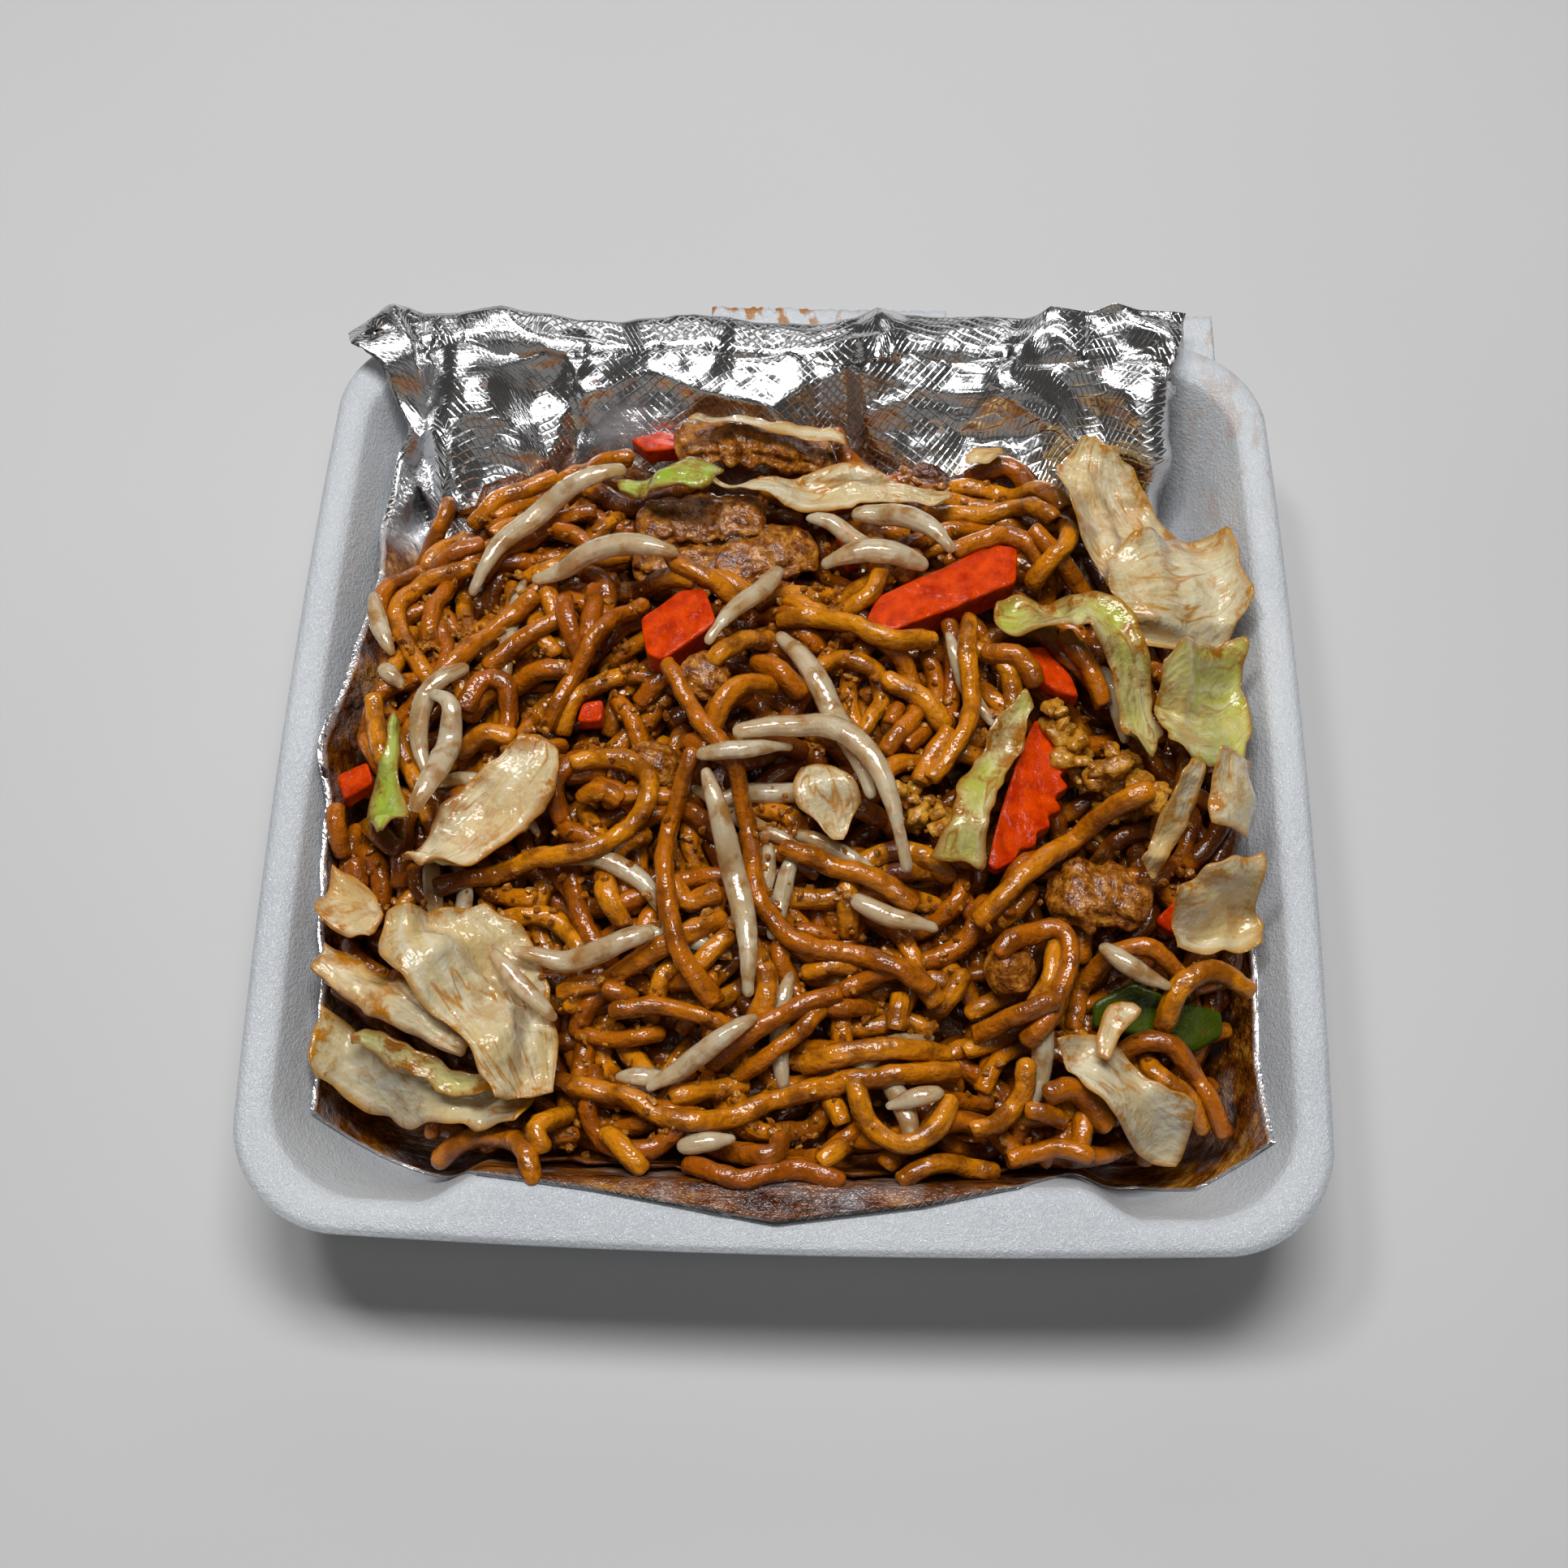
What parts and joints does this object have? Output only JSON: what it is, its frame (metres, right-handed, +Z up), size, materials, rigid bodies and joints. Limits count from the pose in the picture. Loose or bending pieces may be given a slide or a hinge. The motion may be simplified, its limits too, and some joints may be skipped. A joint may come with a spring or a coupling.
{
  "type": "noodle takeaway box",
  "caption": "Square foam takeaway tray lined with embossed foil and heaped with fried noodles, cabbage, carrot, bean sprouts, meat and egg.",
  "frame": {"origin": "middle of the tray's flat underside", "axes": "+Z up, +X to the right and +Y to the back, where the lid's hinge was"},
  "size_m": [0.238, 0.248, 0.0607],
  "materials": {
    "foam": "expanded foam with a faint pearly glitter",
    "foil": "bright rolled foil, embossed with small diamonds",
    "noodle": "fried wheat noodle in a glossy brown sauce",
    "cabbage": "cooked white cabbage, stained brown at its edges",
    "green_cabbage": "cooked green cabbage leaf",
    "bean_sprout": "cooked bean sprout, slightly translucent",
    "carrot": "cooked carrot or red pepper, wet",
    "green_pepper": "cooked green pepper skin, wet",
    "spring_onion": "cooked spring onion, wet",
    "meat": "braised meat in brown sauce",
    "egg": "scrambled egg stained by the sauce"
  },
  "bodies": {
    "root": {"bean_sprout_1": "bean_sprout", "bean_sprout_10": "bean_sprout", "bean_sprout_11": "bean_sprout", "bean_sprout_12": "bean_sprout", "bean_sprout_13": "bean_sprout", "bean_sprout_14": "bean_sprout", "bean_sprout_15": "bean_sprout", "bean_sprout_2": "bean_sprout", "bean_sprout_3": "bean_sprout", "bean_sprout_4": "bean_sprout", "bean_sprout_5": "bean_sprout", "bean_sprout_6": "bean_sprout", "bean_sprout_7": "bean_sprout", "bean_sprout_8": "bean_sprout", "bean_sprout_9": "bean_sprout", "cabbage_arc": "green_cabbage", "cabbage_arch": "cabbage", "cabbage_back_right": "cabbage", "cabbage_behind": "cabbage", "cabbage_by_carrot": "green_cabbage", "cabbage_centre_left": "cabbage", "cabbage_chip_back": "cabbage", "cabbage_crinkled": "cabbage", "cabbage_curl_middle": "cabbage", "cabbage_curl_right": "cabbage", "cabbage_flat_left": "cabbage", "cabbage_front_right": "cabbage", "cabbage_green_shred": "green_cabbage", "cabbage_left": "cabbage", "cabbage_rib": "cabbage", "cabbage_right_fan": "cabbage", "cabbage_right_green": "green_cabbage", "cabbage_right_inner": "cabbage", "cabbage_right_lower": "cabbage", "cabbage_right_narrow": "cabbage", "carrot_back": "carrot", "carrot_chunk": "carrot", "carrot_crinkle": "carrot", "carrot_left": "carrot", "carrot_sliver": "carrot", "carrot_small": "carrot", "carrot_stick": "carrot", "egg_middle": "egg", "egg_right": "egg", "foam_tray": "foam", "foil_lining": "foil", "green_pepper": "green_pepper", "meat_ball": "meat", "meat_left": "meat", "meat_middle": "meat", "meat_right": "meat", "meat_slice_back": "meat", "meat_slice_lower": "meat", "meat_slice_upper": "meat", "noodles": "noodle", "red_pepper_middle": "carrot", "red_pepper_right": "carrot", "spring_onion_back": "spring_onion", "spring_onion_left": "spring_onion"}
  },
  "joints": []
}
